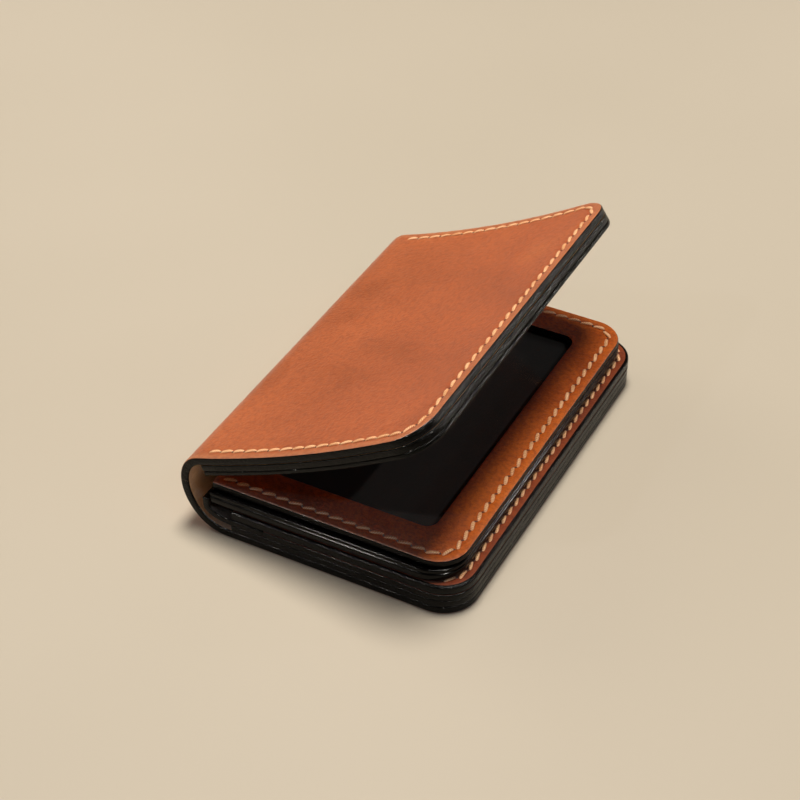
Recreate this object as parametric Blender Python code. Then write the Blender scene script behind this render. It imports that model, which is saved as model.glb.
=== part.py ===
"""Vertical bifold leather wallet with a centre flip panel that has a clear window.

The wallet lies on its lower leaf with the spine along Y. The upper leaf has sprung open.
Every sheet is drawn flat, as leather is cut, and is then laid along the bent cover.
In the flat pattern a point is (reach, y, depth): reach runs from a leaf's free edge
towards the spine, y runs along the spine and depth runs inwards from the cover's skin.
"""

import math

import bmesh
import bpy
from mathutils import Vector

MM = 0.001

# Overall sizes
COVER_LENGTH = 107.0 * MM        # along the spine
LOWER_LEAF = 63.6 * MM           # flat run of the lower leaf, free edge to spine bend
UPPER_LEAF = 66.5 * MM           # run of the upper leaf, spine bend to free edge
CORNER_RADIUS = 9.0 * MM         # rounded corners of the cover

# Leather and film thicknesses
COVER_LEATHER = 2.2 * MM
LOWER_POCKET_LEATHER = 1.5 * MM
LOWER_PANEL_LEATHER = 2.4 * MM
UPPER_POCKET_LEATHER = 1.2 * MM
FLAP_LEATHER = 2.0 * MM
SPACER_LEATHER = 0.9 * MM
FILM_THICKNESS = 0.3 * MM
HINGE_LEATHER = 1.2 * MM
GAP = 0.3 * MM                   # between sheets that lie on each other

# Spine bend and the upper leaf's open pose
SPINE_SETBACK = 6.6 * MM         # the bend ends this far beyond where it starts
SPINE_EASE = 2.8 * MM            # bend height left over when the wallet is shut
SPINE_LOWER_PULL = 11.6 * MM     # fullness of the bend below
SPINE_UPPER_PULL = 10.4 * MM     # fullness of the bend above
LEAF_TILT = math.radians(20.5)   # slope of the upper leaf next to the spine
LEAF_CURL = math.radians(13.4)   # extra slope gained by the free edge
SHUT_TURN = math.radians(23.0)   # the upper leaf turns this far to shut

# Pockets
LOWER_POCKET_SETBACK = 1.8 * MM  # lower sheets end this far short of the spine bend
UPPER_POCKET_SETBACK = 0.2 * MM  # upper sheets end this far short of the spine bend
THUMB_NOTCH_WIDTH = 24.0 * MM
THUMB_NOTCH_DEPTH = 6.0 * MM

# Flap
FLAP_END_INSET = 1.9 * MM        # window frame to cover at the near and far edges
FLAP_BACK_END_INSET = 0.5 * MM   # flap back and spacer to cover at those edges
FLAP_FREE_INSET = 2.9 * MM       # flap to cover at the free edge
FLAP_OVERHANG = 6.0 * MM         # flap reaches past the end of the pockets
FLAP_CORNER_RADIUS = 8.0 * MM
WINDOW_FREE_MARGIN = 10.7 * MM
WINDOW_END_MARGIN = 10.2 * MM
WINDOW_SPINE_MARGIN = 8.0 * MM
WINDOW_RADIUS = 3.0 * MM
FILM_LIP = 4.0 * MM              # film hidden under the frame on each side

# Hinge strip of the flap
HINGE_TUCK = 8.5 * MM            # length sewn between the lower sheets
HINGE_END_INSET = 0.8 * MM       # strip to cover at the near and far edges
HINGE_RISE_PULL = 4.0 * MM
HINGE_TOP_PULL = 1.5 * MM
HINGE_TOP_RISE = 1.4 * MM        # strip ends this far above the flap's underside

# Stitching
STITCH_MARGIN = 2.8 * MM         # thread line to the leather's edge
THREAD_WIDTH = 0.8 * MM
THREAD_HEIGHT = 0.4 * MM
STITCH_SPINE_MARGIN = 1.7 * MM   # thread line stops this far from a sheet's spine end

# Mesh fineness
CORNER_STEPS = 6
BEND_STEP = 1.5 * MM
LEAF_STEP = 6.0 * MM
POST_SIDES = 8
POST_SHARE = 0.95                # thread post's width beside the thread row's
PATH_SAMPLES = 400
CUT_MERGE = 1e-7                 # points nearer than this to a cut are on it
MITRE_LIMIT = 0.5                # least cosine that a band's corner is stretched by
CUTTER_SPARE = 1.0 * MM          # cutters reach this far past a face
JOINT_MARK = 5.0 * MM            # size of the empties that mark the joints

# Stacks, measured inwards from the cover's skin
LOWER_BACK_DEPTH = COVER_LEATHER + GAP
LOWER_MIDDLE_DEPTH = LOWER_BACK_DEPTH + LOWER_POCKET_LEATHER + GAP
LOWER_FRONT_DEPTH = LOWER_MIDDLE_DEPTH + LOWER_POCKET_LEATHER + GAP
LOWER_STACK = LOWER_FRONT_DEPTH + LOWER_PANEL_LEATHER
UPPER_BACK_DEPTH = COVER_LEATHER + GAP
UPPER_FRONT_DEPTH = UPPER_BACK_DEPTH + UPPER_POCKET_LEATHER + GAP
UPPER_STACK = UPPER_FRONT_DEPTH + UPPER_POCKET_LEATHER
FLAP_BACK_DEPTH = LOWER_STACK + GAP
SPACER_DEPTH = FLAP_BACK_DEPTH + FLAP_LEATHER + GAP
FRAME_DEPTH = SPACER_DEPTH + SPACER_LEATHER + GAP
FLAP_TOP = FRAME_DEPTH + FLAP_LEATHER
FILM_DEPTH = SPACER_DEPTH + SPACER_LEATHER - FILM_THICKNESS
SPINE_HEIGHT = FLAP_TOP + UPPER_STACK + SPINE_EASE

MATERIALS = {
    "cover_leather": ((0.50, 0.16, 0.055), 0.42),
    "pocket_leather": ((0.30, 0.085, 0.03), 0.45),
    "flap_leather": ((0.43, 0.12, 0.02), 0.38),
    "hinge_leather": ((0.16, 0.06, 0.03), 0.6),
    "thread": ((0.78, 0.50, 0.24), 0.6),
    "film": ((0.75, 0.78, 0.78), 0.1),
}


def bezier(start, pull_start, pull_end, end, steps):
    """Points of a cubic curve through start and end."""
    points = []
    for index in range(steps + 1):
        u = index / steps
        v = 1.0 - u
        point = start * v ** 3 + pull_start * (3 * u * v * v)
        points.append(point + pull_end * (3 * u * u * v) + end * u ** 3)
    return points


class Line:
    """Points in the XZ plane with running lengths."""

    def __init__(self, points):
        self.points = points
        self.lengths = [0.0]
        for first, second in zip(points, points[1:]):
            self.lengths.append(self.lengths[-1] + (second - first).length)

    def at(self, length):
        """Point and heading a given length along the line."""
        index = 0
        while index < len(self.points) - 2 and self.lengths[index + 1] < length:
            index += 1
        first, second = self.points[index], self.points[index + 1]
        share = (length - self.lengths[index]) / (self.lengths[index + 1] - self.lengths[index])
        run = second - first
        return first + run * share, math.atan2(run.y, run.x) % (2 * math.pi)


class Bend:
    """The cover's skin from the lower free edge, round the spine, to the upper free edge."""

    def __init__(self):
        start = Vector((-LOWER_LEAF, 0.0))
        end = start + Vector((-SPINE_SETBACK, SPINE_HEIGHT))
        lead_out = Vector((math.cos(LEAF_TILT), math.sin(LEAF_TILT)))
        pull_start = start + Vector((-SPINE_LOWER_PULL, 0.0))
        pull_end = end - lead_out * SPINE_UPPER_PULL
        self.spine = Line(bezier(start, pull_start, pull_end, end, PATH_SAMPLES))
        self.leaf_start = end
        self.upper_start = LOWER_LEAF + self.spine.lengths[-1]
        self.total = self.upper_start + UPPER_LEAF
        outermost = min(range(PATH_SAMPLES), key=lambda i: self.spine.points[i].x)
        self.middle = LOWER_LEAF + self.spine.lengths[outermost]
        self.shift = -self.spine.points[outermost].x / 2.0

    def skin(self, arc):
        """Skin point (x, z) and heading at an arc length from the lower free edge."""
        if arc <= LOWER_LEAF:
            return Vector((-arc, 0.0)), math.pi
        if arc < self.upper_start:
            return self.spine.at(arc - LOWER_LEAF)
        curl = LEAF_CURL / UPPER_LEAF
        heading = LEAF_TILT + curl * (arc - self.upper_start)
        across = (math.sin(heading) - math.sin(LEAF_TILT)) / curl
        rise = (math.cos(LEAF_TILT) - math.cos(heading)) / curl
        return self.leaf_start + Vector((across, rise)), heading

    def place(self, arc, y, depth):
        """World point of a pattern point on the cover."""
        point, heading = self.skin(arc)
        x = point.x + depth * math.sin(heading)
        z = point.y - depth * math.cos(heading)
        return Vector((x + self.shift, y - COVER_LENGTH / 2.0, z))

    def pivot(self, fixed_arc, moving_arc):
        """Centre of the one turn that lays the skin between two arc lengths flat."""
        fixed, fixed_heading = self.skin(fixed_arc)
        moving, moving_heading = self.skin(moving_arc)
        run = Vector((math.cos(fixed_heading), math.sin(fixed_heading))) * (moving_arc - fixed_arc)
        turn = fixed_heading - moving_heading
        c, s = math.cos(turn), math.sin(turn)
        turned = Vector((c * moving.x - s * moving.y, s * moving.x + c * moving.y))
        offset = fixed + run - turned
        scale = 2.0 - 2.0 * c
        x = ((1 - c) * offset.x - s * offset.y) / scale
        z = (s * offset.x + (1 - c) * offset.y) / scale
        return Vector((x + self.shift, 0.0, z))

    def nearest(self, pivot):
        """Arc length of the skin point nearest to a crease axis, and its distance."""
        target = Vector((pivot.x - self.shift, pivot.z))
        gaps = [(point - target).length for point in self.spine.points]
        index = gaps.index(min(gaps))
        return LOWER_LEAF + self.spine.lengths[index], gaps[index]

    def radius(self, arc):
        """Radius of the skin's bend at an arc length."""
        turn = self.skin(arc - BEND_STEP)[1] - self.skin(arc + BEND_STEP)[1]
        return 2 * BEND_STEP / turn


BEND = Bend()
LOWER_CREASE = BEND.pivot(LOWER_LEAF, BEND.middle)
UPPER_CREASE = BEND.pivot(BEND.middle, BEND.upper_start)
LOWER_CREASE_ARC = BEND.nearest(LOWER_CREASE)[0]
UPPER_CREASE_ARC, UPPER_CREASE_OFFSET = BEND.nearest(UPPER_CREASE)


def upper_crease_gap():
    """Opening in the skin that lets the upper leaf shut without touching the spine."""
    inside = (UPPER_CREASE_OFFSET + COVER_LEATHER) * math.sin(SHUT_TURN) + GAP
    radius = BEND.radius(UPPER_CREASE_ARC)
    return inside * radius / (radius - COVER_LEATHER)


def lower(reach, y, depth):
    """Lay a pattern point on the lower leaf."""
    return BEND.place(reach, y, depth)


def upper(reach, y, depth):
    """Lay a pattern point on the upper leaf."""
    return BEND.place(BEND.total - reach, y, depth)


def flat(reach, y, depth):
    """Lay a pattern point level above the lower leaf."""
    return Vector((BEND.shift - reach, y - COVER_LENGTH / 2.0, depth))


# Outlines in the flat pattern

def arc_points(centre, radius, start, end, steps):
    """Points on an arc, from one angle in degrees to another."""
    points = []
    for index in range(steps + 1):
        angle = math.radians(start + (end - start) * index / steps)
        points.append(centre + Vector((math.cos(angle), math.sin(angle))) * radius)
    return points


def leaf_outline(free, spine, end_inset, radius, notch=False):
    """Sheet with round corners at its free edge, square ones at the spine side."""
    near = end_inset
    far = COVER_LENGTH - end_inset
    outline = [Vector((spine, near))]
    outline += reversed(arc_points(Vector((free + radius, near + radius)), radius, 180, 270, CORNER_STEPS))
    outline += reversed(arc_points(Vector((free + radius, far - radius)), radius, 90, 180, CORNER_STEPS))
    outline.append(Vector((spine, far)))
    if notch:
        outline += notch_points(spine)
    return outline


def notch_points(spine):
    """Shallow round cut in a pocket mouth, for a thumb."""
    half = THUMB_NOTCH_WIDTH / 2.0
    radius = (half * half + THUMB_NOTCH_DEPTH ** 2) / (2.0 * THUMB_NOTCH_DEPTH)
    spread = math.degrees(math.asin(half / radius))
    centre = Vector((spine - THUMB_NOTCH_DEPTH + radius, COVER_LENGTH / 2.0))
    return arc_points(centre, radius, 180 - spread, 180 + spread, 2 * CORNER_STEPS)


def rounded_box(free, spine, near, far, radius):
    """Rectangle with four round corners."""
    outline = []
    corners = (
        (Vector((spine - radius, far - radius)), 0),
        (Vector((free + radius, far - radius)), 90),
        (Vector((free + radius, near + radius)), 180),
        (Vector((spine - radius, near + radius)), 270),
    )
    for centre, start in corners:
        outline += arc_points(centre, radius, start, start + 90, CORNER_STEPS)
    return outline


def stitch_line(free, spine, end_inset, radius):
    """Line of stitching round three sides, from the spine side to the spine side."""
    inner = radius - STITCH_MARGIN
    return leaf_outline(free + STITCH_MARGIN, spine, end_inset + STITCH_MARGIN, inner)


def ribbon(line, width, extra):
    """Outline of a band that follows a line, longer by extra at each end."""
    points = list(line)
    points[0] = points[0] + (points[0] - points[1]).normalized() * extra
    points[-1] = points[-1] + (points[-1] - points[-2]).normalized() * extra
    left, right = [], []
    for index, point in enumerate(points):
        before = points[max(index - 1, 0)]
        after = points[min(index + 1, len(points) - 1)]
        first = (point - before) if index else (after - point)
        second = (after - point) if index < len(points) - 1 else first
        tangent = (first.normalized() + second.normalized()).normalized()
        side = Vector((-tangent.y, tangent.x)) * (width / 2.0)
        side /= max(tangent.dot(second.normalized()), MITRE_LIMIT)
        left.append(point + side)
        right.append(point - side)
    return left + right[::-1]


def circle(centre, radius):
    """Polygon of a thread hole or thread post."""
    return arc_points(centre, radius, 0, 360 - 360 / POST_SIDES, POST_SIDES - 1)


# Solids in the flat pattern

def slab(outline, low, high):
    """Closed sheet between two depths."""
    shape = bmesh.new()
    bottom = [shape.verts.new((p.x, p.y, low)) for p in outline]
    top = [shape.verts.new((p.x, p.y, high)) for p in outline]
    shape.faces.new(bottom)
    shape.faces.new(top)
    for index in range(len(outline)):
        after = (index + 1) % len(outline)
        shape.faces.new((bottom[index], bottom[after], top[after], top[index]))
    bmesh.ops.recalc_face_normals(shape, faces=shape.faces)
    mesh = bpy.data.meshes.new("flat")
    shape.to_mesh(mesh)
    shape.free()
    return mesh


def combined(mesh, others, operation):
    """Mesh after a Boolean with each of the other meshes."""
    scene = bpy.context.scene.collection
    base = bpy.data.objects.new("blank", mesh)
    scene.objects.link(base)
    tools = []
    for other in others:
        tool = bpy.data.objects.new("tool", other)
        scene.objects.link(tool)
        tools.append(tool)
        step = base.modifiers.new("shape", "BOOLEAN")
        step.operation = operation
        step.solver = "EXACT"
        step.object = tool
    bpy.context.view_layer.update()
    result = bpy.data.meshes.new_from_object(base.evaluated_get(bpy.context.evaluated_depsgraph_get()))
    for item in tools + [base]:
        bpy.data.objects.remove(item, do_unlink=True)
    return result


def stitch_ends(line):
    """The two points where the thread passes through every layer."""
    return line[0], line[-1]


def thread_groove(line, low, high):
    """Cutter for the groove that a thread lies in."""
    return slab(ribbon(line, THREAD_WIDTH + 2 * GAP, THREAD_WIDTH / 2.0 + GAP), low, high)


def thread_holes(line, low, high):
    """Cutters for the holes that a thread passes through."""
    return [slab(circle(end, THREAD_WIDTH / 2.0 + GAP), low, high) for end in stitch_ends(line)]


def thread_mesh(line, low, high):
    """One thread: a row on each face of the stack, joined at both ends."""
    band = ribbon(line, THREAD_WIDTH, THREAD_WIDTH / 2.0)
    reach = THREAD_HEIGHT / 2.0
    posts = []
    for end in stitch_ends(line):
        posts.append(slab(circle(end, THREAD_WIDTH / 2.0 * POST_SHARE), low + reach, high - reach))
    rows = slab(band, low, low + THREAD_HEIGHT)
    other = slab(band, high - THREAD_HEIGHT, high)
    return combined(rows, posts + [other], "UNION")


def bend_cuts(start, end):
    """Arc lengths at which a sheet is divided so that it can bend."""
    cuts = []
    count = max(1, round((BEND.upper_start - LOWER_LEAF) / BEND_STEP))
    for index in range(count + 1):
        cuts.append(LOWER_LEAF + (BEND.upper_start - LOWER_LEAF) * index / count)
    count = max(1, round(UPPER_LEAF / LEAF_STEP))
    for index in range(1, count):
        cuts.append(BEND.upper_start + UPPER_LEAF * index / count)
    return [cut for cut in cuts if start < cut < end]


def laid(mesh, place, cuts):
    """Divide a flat mesh across its reach, then lay it on the bent wallet."""
    shape = bmesh.new()
    shape.from_mesh(mesh)
    for cut in cuts:
        everything = shape.verts[:] + shape.edges[:] + shape.faces[:]
        bmesh.ops.bisect_plane(
            shape, geom=everything, dist=CUT_MERGE, plane_co=(cut, 0, 0), plane_no=(1, 0, 0))
    bmesh.ops.triangulate(shape, faces=shape.faces)
    for vert in shape.verts:
        vert.co = place(vert.co.x, vert.co.y, vert.co.z)
    if shape.calc_volume(signed=True) < 0.0:
        bmesh.ops.reverse_faces(shape, faces=shape.faces)
    shape.to_mesh(mesh)
    shape.free()
    return mesh


def material(name):
    """Principled material of a finish."""
    found = bpy.data.materials.get(name)
    if found:
        return found
    colour, roughness = MATERIALS[name]
    made = bpy.data.materials.new(name)
    made.use_nodes = True
    made.diffuse_color = (*colour, 1.0)
    shader = made.node_tree.nodes["Principled BSDF"]
    shader.inputs["Base Color"].default_value = (*colour, 1.0)
    shader.inputs["Roughness"].default_value = roughness
    shader.inputs["Metallic"].default_value = 0.0
    return made


def add(name, mesh, finish, joint):
    """Put a laid mesh in the scene, with its origin on the joint that carries it."""
    mesh.name = name
    for vert in mesh.vertices:
        vert.co -= joint.location
    mesh.materials.clear()
    mesh.materials.append(material(finish))
    part = bpy.data.objects.new(name, mesh)
    bpy.context.scene.collection.objects.link(part)
    part.parent = joint
    return part


def joint_empty(name, location):
    """Empty that stands on a joint axis."""
    empty = bpy.data.objects.new(name, None)
    empty.location = location
    empty.empty_display_size = JOINT_MARK
    bpy.context.scene.collection.objects.link(empty)
    return empty


# Lines of stitching, and where the sheets end at the spine side

LOWER_SPINE_END = LOWER_LEAF - LOWER_POCKET_SETBACK
UPPER_SPINE_END = UPPER_LEAF - UPPER_POCKET_SETBACK
FLAP_SPINE_END = LOWER_SPINE_END + FLAP_OVERHANG
MIDDLE_SPINE_END = LOWER_SPINE_END - HINGE_TUCK - GAP
LOWER_LINE = stitch_line(0.0, LOWER_SPINE_END - STITCH_SPINE_MARGIN, 0.0, CORNER_RADIUS)
UPPER_LINE = stitch_line(0.0, UPPER_SPINE_END - STITCH_SPINE_MARGIN, 0.0, CORNER_RADIUS)
FLAP_LINE = stitch_line(
    FLAP_FREE_INSET, FLAP_SPINE_END - STITCH_SPINE_MARGIN, FLAP_END_INSET, FLAP_CORNER_RADIUS)
GROOVE = THREAD_HEIGHT + GAP
LOWER_CUTS = bend_cuts(0.0, BEND.total)
UPPER_CUTS = [BEND.total - cut for cut in LOWER_CUTS]


def sheet(outline, low, high, line, grooves=()):
    """Flat sheet with the holes, and any grooves, of a line of stitching."""
    cutters = thread_holes(line, low - CUTTER_SPARE, high + CUTTER_SPARE)
    for side in grooves:
        if side == "skin":
            cutters.append(thread_groove(line, low - CUTTER_SPARE, low + GROOVE))
        else:
            cutters.append(thread_groove(line, high - GROOVE, high + CUTTER_SPARE))
    return combined(slab(outline, low, high), cutters, "DIFFERENCE")


# Lower leaf

def lower_cover(joint):
    outline = leaf_outline(0.0, LOWER_CREASE_ARC - GAP / 2.0, 0.0, CORNER_RADIUS)
    mesh = sheet(outline, 0.0, COVER_LEATHER, LOWER_LINE, ("skin",))
    return add("lower_cover", laid(mesh, lower, LOWER_CUTS), "cover_leather", joint)


def lower_back_pocket(joint):
    outline = leaf_outline(0.0, LOWER_SPINE_END, 0.0, CORNER_RADIUS)
    mesh = sheet(outline, LOWER_BACK_DEPTH, LOWER_BACK_DEPTH + LOWER_POCKET_LEATHER, LOWER_LINE)
    return add("lower_back_pocket", laid(mesh, lower, LOWER_CUTS), "pocket_leather", joint)


def lower_middle_pocket(joint):
    outline = leaf_outline(0.0, MIDDLE_SPINE_END, 0.0, CORNER_RADIUS, notch=True)
    mesh = slab(outline, LOWER_MIDDLE_DEPTH, LOWER_MIDDLE_DEPTH + LOWER_POCKET_LEATHER)
    return add("lower_middle_pocket", laid(mesh, lower, LOWER_CUTS), "pocket_leather", joint)


def lower_front_panel(joint):
    outline = leaf_outline(0.0, LOWER_SPINE_END, 0.0, CORNER_RADIUS, notch=True)
    mesh = sheet(outline, LOWER_FRONT_DEPTH, LOWER_STACK, LOWER_LINE, ("inside",))
    return add("lower_front_panel", laid(mesh, lower, LOWER_CUTS), "pocket_leather", joint)


def lower_stitching(joint):
    mesh = thread_mesh(LOWER_LINE, 0.0, LOWER_STACK)
    return add("lower_stitching", laid(mesh, lower, LOWER_CUTS), "thread", joint)


def hinge_line():
    """Middle of the flap's hinge strip, from between the sheets up to the flap's axis."""
    depth = LOWER_MIDDLE_DEPTH + LOWER_POCKET_LEATHER / 2.0
    tucked = Vector((-LOWER_SPINE_END + HINGE_TUCK, depth))
    start = Vector((-LOWER_SPINE_END, depth))
    upright = -FLAP_SPINE_END - GAP - HINGE_LEATHER / 2.0
    knee = Vector((upright, FLAP_BACK_DEPTH - GAP - HINGE_LEATHER / 2.0))
    end = Vector((upright, FLAP_BACK_DEPTH + HINGE_TOP_RISE))
    pull_start = start + Vector((-HINGE_RISE_PULL, 0.0))
    pull_end = knee + Vector((0.0, -HINGE_TOP_PULL))
    return Line([tucked] + bezier(start, pull_start, pull_end, knee, PATH_SAMPLES // 4) + [end])


HINGE = hinge_line()
FLAP_AXIS = Vector((HINGE.points[-1].x + HINGE_LEATHER / 2.0 + BEND.shift, 0.0, HINGE.points[-1].y))


def hinge_place(length, y, depth):
    """Lay a pattern point on the hinge strip."""
    point, heading = HINGE.at(length)
    x = point.x + depth * math.sin(heading)
    z = point.y - depth * math.cos(heading)
    return Vector((x + BEND.shift, y - COVER_LENGTH / 2.0, z))


def flap_hinge_strip(joint):
    near = HINGE_END_INSET
    far = COVER_LENGTH - HINGE_END_INSET
    length = HINGE.lengths[-1]
    half = HINGE_LEATHER / 2.0
    outline = [Vector((0.0, near)), Vector((length, near)), Vector((length, far)), Vector((0.0, far))]
    ends = [Vector((HINGE_TUCK - STITCH_SPINE_MARGIN, end.y)) for end in stitch_ends(LOWER_LINE)]
    mesh = sheet(outline, -half, half, ends)
    count = round((length - HINGE_TUCK) / BEND_STEP)
    cuts = [HINGE_TUCK + (length - HINGE_TUCK) * index / count for index in range(count)]
    return add("flap_hinge_strip", laid(mesh, hinge_place, cuts), "hinge_leather", joint)


# Spine

def spine_cover(joint):
    start = LOWER_CREASE_ARC + GAP / 2.0
    end = UPPER_CREASE_ARC - upper_crease_gap() / 2.0
    outline = [Vector((start, 0.0)), Vector((end, 0.0))]
    outline += [Vector((end, COVER_LENGTH)), Vector((start, COVER_LENGTH))]
    mesh = slab(outline, 0.0, COVER_LEATHER)
    return add("spine_cover", laid(mesh, lower, LOWER_CUTS), "cover_leather", joint)


# Upper leaf

def upper_cover(joint):
    spine_end = BEND.total - UPPER_CREASE_ARC - upper_crease_gap() / 2.0
    outline = leaf_outline(0.0, spine_end, 0.0, CORNER_RADIUS)
    mesh = sheet(outline, 0.0, COVER_LEATHER, UPPER_LINE, ("skin",))
    return add("upper_cover", laid(mesh, upper, UPPER_CUTS), "cover_leather", joint)


def upper_back_pocket(joint):
    outline = leaf_outline(0.0, UPPER_SPINE_END, 0.0, CORNER_RADIUS)
    mesh = sheet(outline, UPPER_BACK_DEPTH, UPPER_BACK_DEPTH + UPPER_POCKET_LEATHER, UPPER_LINE)
    return add("upper_back_pocket", laid(mesh, upper, UPPER_CUTS), "pocket_leather", joint)


def upper_front_pocket(joint):
    outline = leaf_outline(0.0, UPPER_SPINE_END, 0.0, CORNER_RADIUS, notch=True)
    mesh = sheet(outline, UPPER_FRONT_DEPTH, UPPER_STACK, UPPER_LINE, ("inside",))
    return add("upper_front_pocket", laid(mesh, upper, UPPER_CUTS), "pocket_leather", joint)


def upper_stitching(joint):
    mesh = thread_mesh(UPPER_LINE, 0.0, UPPER_STACK)
    return add("upper_stitching", laid(mesh, upper, UPPER_CUTS), "thread", joint)


# Flap

WINDOW_FREE = FLAP_FREE_INSET + WINDOW_FREE_MARGIN
WINDOW_SPINE = FLAP_SPINE_END - WINDOW_SPINE_MARGIN
WINDOW_NEAR = FLAP_END_INSET + WINDOW_END_MARGIN
WINDOW_FAR = COVER_LENGTH - WINDOW_NEAR
FRAME_OUTLINE = leaf_outline(FLAP_FREE_INSET, FLAP_SPINE_END, FLAP_END_INSET, FLAP_CORNER_RADIUS)
BACK_OUTLINE = leaf_outline(FLAP_FREE_INSET, FLAP_SPINE_END, FLAP_BACK_END_INSET, CORNER_RADIUS)


def flap_back_panel(joint):
    mesh = sheet(BACK_OUTLINE, FLAP_BACK_DEPTH, FLAP_BACK_DEPTH + FLAP_LEATHER, FLAP_LINE, ("skin",))
    return add("flap_back_panel", laid(mesh, flat, ()), "flap_leather", joint)


def flap_spacer(joint):
    free = WINDOW_FREE - FILM_LIP - GAP
    near = WINDOW_NEAR - FILM_LIP - GAP
    far = COVER_LENGTH - near
    inner = [Vector((FLAP_SPINE_END, far)), Vector((free, far))]
    inner += [Vector((free, near)), Vector((FLAP_SPINE_END, near))]
    mesh = sheet(BACK_OUTLINE + inner, SPACER_DEPTH, SPACER_DEPTH + SPACER_LEATHER, FLAP_LINE)
    return add("flap_spacer", laid(mesh, flat, ()), "pocket_leather", joint)


def flap_window_film(joint):
    outline = rounded_box(
        WINDOW_FREE - FILM_LIP, WINDOW_SPINE + FILM_LIP,
        WINDOW_NEAR - FILM_LIP, WINDOW_FAR + FILM_LIP, WINDOW_RADIUS)
    mesh = slab(outline, FILM_DEPTH, FILM_DEPTH + FILM_THICKNESS)
    return add("flap_window_film", laid(mesh, flat, ()), "film", joint)


def flap_window_frame(joint):
    window = rounded_box(WINDOW_FREE, WINDOW_SPINE, WINDOW_NEAR, WINDOW_FAR, WINDOW_RADIUS)
    mesh = sheet(FRAME_OUTLINE, FRAME_DEPTH, FLAP_TOP, FLAP_LINE, ("inside",))
    opening = slab(window, FRAME_DEPTH - CUTTER_SPARE, FLAP_TOP + CUTTER_SPARE)
    mesh = combined(mesh, [opening], "DIFFERENCE")
    return add("flap_window_frame", laid(mesh, flat, ()), "flap_leather", joint)


def flap_stitching(joint):
    mesh = thread_mesh(FLAP_LINE, FLAP_BACK_DEPTH, FLAP_TOP)
    return add("flap_stitching", laid(mesh, flat, ()), "thread", joint)


def build():
    for item in list(bpy.data.objects):
        bpy.data.objects.remove(item, do_unlink=True)
    base = joint_empty("wallet", Vector((0.0, 0.0, 0.0)))
    spine = joint_empty("lower_crease", LOWER_CREASE)
    leaf = joint_empty("upper_crease", UPPER_CREASE)
    flap = joint_empty("flap_hinge", FLAP_AXIS)
    for make in (lower_cover, lower_back_pocket, lower_middle_pocket, lower_front_panel,
                 lower_stitching, flap_hinge_strip):
        make(base)
    spine_cover(spine)
    for make in (upper_cover, upper_back_pocket, upper_front_pocket, upper_stitching):
        make(leaf)
    for make in (flap_back_panel, flap_spacer, flap_window_film, flap_window_frame,
                 flap_stitching):
        make(flap)
    bpy.context.view_layer.update()


build()
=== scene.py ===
import math

import bmesh
import bpy
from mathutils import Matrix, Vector


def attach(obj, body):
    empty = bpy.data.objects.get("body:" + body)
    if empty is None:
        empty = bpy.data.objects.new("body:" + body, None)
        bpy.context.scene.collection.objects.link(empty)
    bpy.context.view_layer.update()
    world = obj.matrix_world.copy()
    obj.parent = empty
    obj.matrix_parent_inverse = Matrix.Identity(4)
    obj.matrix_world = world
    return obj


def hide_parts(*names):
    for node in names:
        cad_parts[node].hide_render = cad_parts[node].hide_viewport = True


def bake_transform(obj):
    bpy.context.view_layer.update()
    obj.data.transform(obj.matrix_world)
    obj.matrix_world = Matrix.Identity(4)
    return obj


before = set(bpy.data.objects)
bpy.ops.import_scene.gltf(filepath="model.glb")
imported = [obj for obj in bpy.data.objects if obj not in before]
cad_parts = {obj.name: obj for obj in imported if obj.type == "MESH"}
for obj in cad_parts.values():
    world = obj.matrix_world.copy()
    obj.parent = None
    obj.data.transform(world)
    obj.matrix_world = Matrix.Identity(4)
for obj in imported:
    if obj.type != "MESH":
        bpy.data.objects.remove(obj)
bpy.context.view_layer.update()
mm = 0.001
wallet = {
    "length": 107.0 * mm,        # along the spine
    "lowerLeaf": 63.6 * mm,      # flat run of the lower leaf
    "upperLeaf": 66.5 * mm,      # run of the upper leaf
    "setback": 6.6 * mm,         # the spine's bend ends this far beyond where it starts
    "spineHeight": 22.3 * mm,
    "lowerPull": 11.6 * mm,      # fullness of the bend below and above
    "upperPull": 10.4 * mm,
    "tilt": math.radians(20.5),  # slope of the upper leaf at the spine
    "curl": math.radians(13.4),  # slope gained by its free edge
    "stitchMargin": 2.8 * mm,
    "pitch": 3.6 * mm,           # seven stitches to the inch
}
print("frame loaded")


def curvePoints(start, pullStart, pullEnd, end, steps):
    points = []
    for index in range(steps + 1):
        u = index / steps
        v = 1.0 - u
        points.append(start * v ** 3 + pullStart * (3 * u * v * v)
                      + pullEnd * (3 * u * u * v) + end * u ** 3)
    return points


def runningLengths(points):
    lengths = [0.0]
    for first, second in zip(points, points[1:]):
        lengths.append(lengths[-1] + (second - first).length)
    return lengths


def alongLine(points, lengths, length):
    index = 0
    while index < len(points) - 2 and lengths[index + 1] < length:
        index += 1
    share = (length - lengths[index]) / (lengths[index + 1] - lengths[index])
    run = points[index + 1] - points[index]
    return points[index] + run * share, run.normalized()


# the line that the cover's skin follows, from the lower free edge round the spine to the upper one
bendStart = Vector((-wallet["lowerLeaf"], 0.0))
bendEnd = bendStart + Vector((-wallet["setback"], wallet["spineHeight"]))
leadOut = Vector((math.cos(wallet["tilt"]), math.sin(wallet["tilt"])))
spineLine = curvePoints(
    bendStart, bendStart - Vector((wallet["lowerPull"], 0.0)),
    bendEnd - leadOut * wallet["upperPull"], bendEnd, 200)
spineLengths = runningLengths(spineLine)
upperStart = wallet["lowerLeaf"] + spineLengths[-1]
wholeRun = upperStart + wallet["upperLeaf"]
outermost = min(range(len(spineLine)), key=lambda index: spineLine[index].x)
spineMiddle = wallet["lowerLeaf"] + spineLengths[outermost]
sideShift = -spineLine[outermost].x / 2.0


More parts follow.
